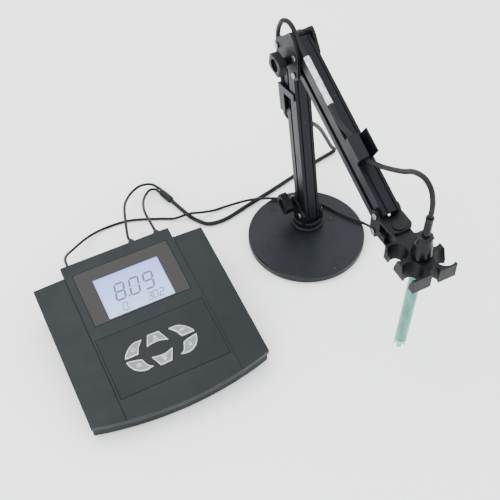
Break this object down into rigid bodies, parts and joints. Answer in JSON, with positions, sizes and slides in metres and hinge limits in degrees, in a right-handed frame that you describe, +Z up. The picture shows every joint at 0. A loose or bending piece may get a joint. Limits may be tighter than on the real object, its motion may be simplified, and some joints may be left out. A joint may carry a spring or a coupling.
{
  "type": "ph meter",
  "caption": "Bench pH meter with a sloping display and keypad, and a parallel-bar electrode stand on a round base that holds an electrode on its lead.",
  "frame": {"origin": "centre of the stand base's underside, on the table", "axes": "+Z up, +X to the right along the arm pivots and the meter's width, +Y to the back, so the arm reaches forward along -Y"},
  "size_m": [0.4226, 0.3659, 0.2617],
  "materials": {
    "charcoal": "fine matte moulding",
    "black": "matte black",
    "anodised": "black anodised",
    "painted": "black powder coat",
    "rubber": "matte",
    "lens": "smoked and clear",
    "display": "pale blue",
    "key": "silver grey",
    "board": "green board",
    "steel": "bright",
    "teal": "translucent",
    "guard": "translucent",
    "glass": "clear"
  },
  "bodies": {
    "base": {"upper_housing": "charcoal", "centre_panel": "charcoal", "keypad_panel": "charcoal", "lower_housing": "charcoal", "display_lens": "lens", "lcd_module": "display", "circuit_board": "board", "rear_panel": "charcoal", "foot_back_left": "rubber", "foot_front_left": "rubber", "foot_back_right": "rubber", "foot_front_right": "rubber", "base_pad": "rubber", "stand_disc": "painted", "lead_table": "rubber", "lead_splitter": "rubber", "branch_outer": "rubber", "branch_inner": "rubber", "plug_outer": "rubber", "plug_inner": "rubber", "supply_cable": "rubber", "supply_plug": "rubber"},
    "turret": {"turret": "black", "turret_axle": "steel", "base_bolt": "steel", "lead_post": "rubber"},
    "base_knob": {"base_knob": "black"},
    "back_bar": {"lower_back_bar": "anodised"},
    "lower_arm": {"lower_channel": "anodised", "lower_clip": "anodised", "lead_elbow": "rubber"},
    "elbow": {"elbow_bracket": "black", "elbow_back_bolt": "steel", "upper_root_bolt": "steel", "tie_root_bolt": "steel"},
    "elbow_knob": {"elbow_knob": "black"},
    "tie_bar": {"upper_tie_bar": "anodised"},
    "upper_arm": {"upper_channel": "anodised", "upper_clip": "anodised", "lead_upper_arm": "rubber"},
    "wrist": {"wrist_bracket": "black", "swivel_pin": "black", "wrist_top_bolt": "steel", "wrist_low_bolt": "steel", "lead_wrist": "rubber"},
    "holder": {"holder_block": "black", "lead_holder": "rubber"},
    "electrode": {"electrode_cap": "black", "strain_relief": "rubber", "electrode_body": "teal", "bulb_guard": "guard", "sensing_bulb": "glass", "lead_electrode": "rubber"},
    "key_power": {"key_power": "key"},
    "key_lower_left": {"key_lower_left": "key"},
    "key_up": {"key_up": "key"},
    "key_down": {"key_down": "key"},
    "key_upper_right": {"key_upper_right": "key"},
    "key_lower_right": {"key_lower_right": "key"}
  },
  "joints": [
    {"name": "turret_swivel", "type": "hinge", "parent": "base", "child": "turret", "pos_m": [0.01, 0.0155, 0.01], "axis": [0, 0, 1], "range_deg": [-25, 90], "deforming": ["lead_table"]},
    {"name": "base_knob_turn", "type": "hinge", "parent": "turret", "child": "base_knob", "pos_m": [0.01, 0.029, 0.0365], "axis": [1, 0, 0], "range_deg": [-180, 180]},
    {"name": "lower_arm_tilt", "type": "hinge", "parent": "turret", "child": "lower_arm", "pos_m": [0.01, 0.01, 0.0295], "axis": [1, 0, 0], "range_deg": [-9, 25], "deforming": ["lead_post"]},
    {"name": "back_bar_tilt", "type": "hinge", "parent": "turret", "child": "back_bar", "pos_m": [0.01, 0.029, 0.0365], "axis": [1, 0, 0], "range_deg": [-9, 25]},
    {"name": "elbow_level", "type": "hinge", "parent": "lower_arm", "child": "elbow", "pos_m": [0.01, 0.04601, 0.21901], "axis": [1, 0, 0], "range_deg": [-25, 9], "deforming": ["lead_elbow"]},
    {"name": "elbow_knob_turn", "type": "hinge", "parent": "elbow", "child": "elbow_knob", "pos_m": [0.01, 0.04601, 0.21901], "axis": [1, 0, 0], "range_deg": [-180, 180]},
    {"name": "upper_arm_tilt", "type": "hinge", "parent": "elbow", "child": "upper_arm", "pos_m": [0.01, 0.02951, 0.23361], "axis": [1, 0, 0], "range_deg": [-40, 5], "deforming": ["lead_upper_arm"]},
    {"name": "tie_bar_tilt", "type": "hinge", "parent": "elbow", "child": "tie_bar", "pos_m": [0.01, 0.02951, 0.21341], "axis": [1, 0, 0], "range_deg": [-40, 5]},
    {"name": "wrist_level", "type": "hinge", "parent": "upper_arm", "child": "wrist", "pos_m": [0.01, -0.12672, 0.16119], "axis": [1, 0, 0], "range_deg": [-5, 40], "deforming": ["lead_wrist"]},
    {"name": "holder_swivel", "type": "hinge", "parent": "wrist", "child": "holder", "pos_m": [0.01, -0.14702, 0.15949], "axis": [0, 0, 1], "range_deg": [-35, 35], "deforming": ["lead_holder"]},
    {"name": "electrode_slide", "type": "slide", "parent": "holder", "child": "electrode", "axis": [0.0436, 0, 0.999], "range_m": [0, 0.03], "deforming": ["lead_electrode"]},
    {"name": "key_power_press", "type": "slide", "parent": "base", "child": "key_power", "axis": [0, 0.1699, -0.9855], "range_m": [0, 0.001], "stiffness_N_per_m": 300, "springref_m": -0.0003},
    {"name": "key_lower_left_press", "type": "slide", "parent": "base", "child": "key_lower_left", "axis": [0, 0.1699, -0.9855], "range_m": [0, 0.001], "stiffness_N_per_m": 300, "springref_m": -0.0003},
    {"name": "key_up_press", "type": "slide", "parent": "base", "child": "key_up", "axis": [0, 0.1699, -0.9855], "range_m": [0, 0.001], "stiffness_N_per_m": 300, "springref_m": -0.0003},
    {"name": "key_down_press", "type": "slide", "parent": "base", "child": "key_down", "axis": [0, 0.1699, -0.9855], "range_m": [0, 0.001], "stiffness_N_per_m": 300, "springref_m": -0.0003},
    {"name": "key_upper_right_press", "type": "slide", "parent": "base", "child": "key_upper_right", "axis": [0, 0.1699, -0.9855], "range_m": [0, 0.001], "stiffness_N_per_m": 300, "springref_m": -0.0003},
    {"name": "key_lower_right_press", "type": "slide", "parent": "base", "child": "key_lower_right", "axis": [0, 0.1699, -0.9855], "range_m": [0, 0.001], "stiffness_N_per_m": 300, "springref_m": -0.0003}
  ],
  "couplings": [
    {"joint": "back_bar_tilt", "follows": "lower_arm_tilt", "ratio": 1},
    {"joint": "elbow_level", "follows": "lower_arm_tilt", "ratio": -1},
    {"joint": "tie_bar_tilt", "follows": "upper_arm_tilt", "ratio": 1},
    {"joint": "wrist_level", "follows": "upper_arm_tilt", "ratio": -1}
  ]
}
